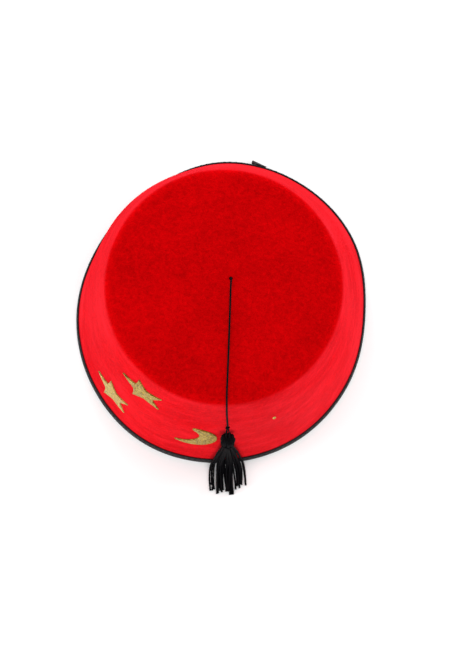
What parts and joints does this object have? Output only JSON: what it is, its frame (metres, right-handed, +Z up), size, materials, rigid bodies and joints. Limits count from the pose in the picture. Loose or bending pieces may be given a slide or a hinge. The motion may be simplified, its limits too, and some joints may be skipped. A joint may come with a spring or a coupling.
{
  "type": "fez hat",
  "caption": "Tapered red felt cap with a flat crown, a black taped hem, gold star and crescent ornaments, and a black tassel on a thin cord.",
  "frame": {"origin": "middle of the cap's footprint, on the surface that the hem stands on", "axes": "+Z up through the crown, -Y towards the side where the cord and the tassel lie"},
  "size_m": [0.1866, 0.2168, 0.1217],
  "materials": {
    "red_felt": "matte brushed felt",
    "black_tape": "woven binding tape",
    "gold_glitter": "glitter sheet",
    "black_thread": "twisted rayon thread"
  },
  "bodies": {
    "root": {"crown": "red_felt", "hem_binding": "black_tape", "star_upper": "gold_glitter", "star_lower": "gold_glitter", "crescent": "gold_glitter", "inner_knot": "black_thread", "tassel_cord": "black_thread", "cord_knot": "black_thread", "tassel_loop": "black_thread", "tassel": "black_thread", "tassel_wrap": "black_thread"}
  },
  "joints": []
}
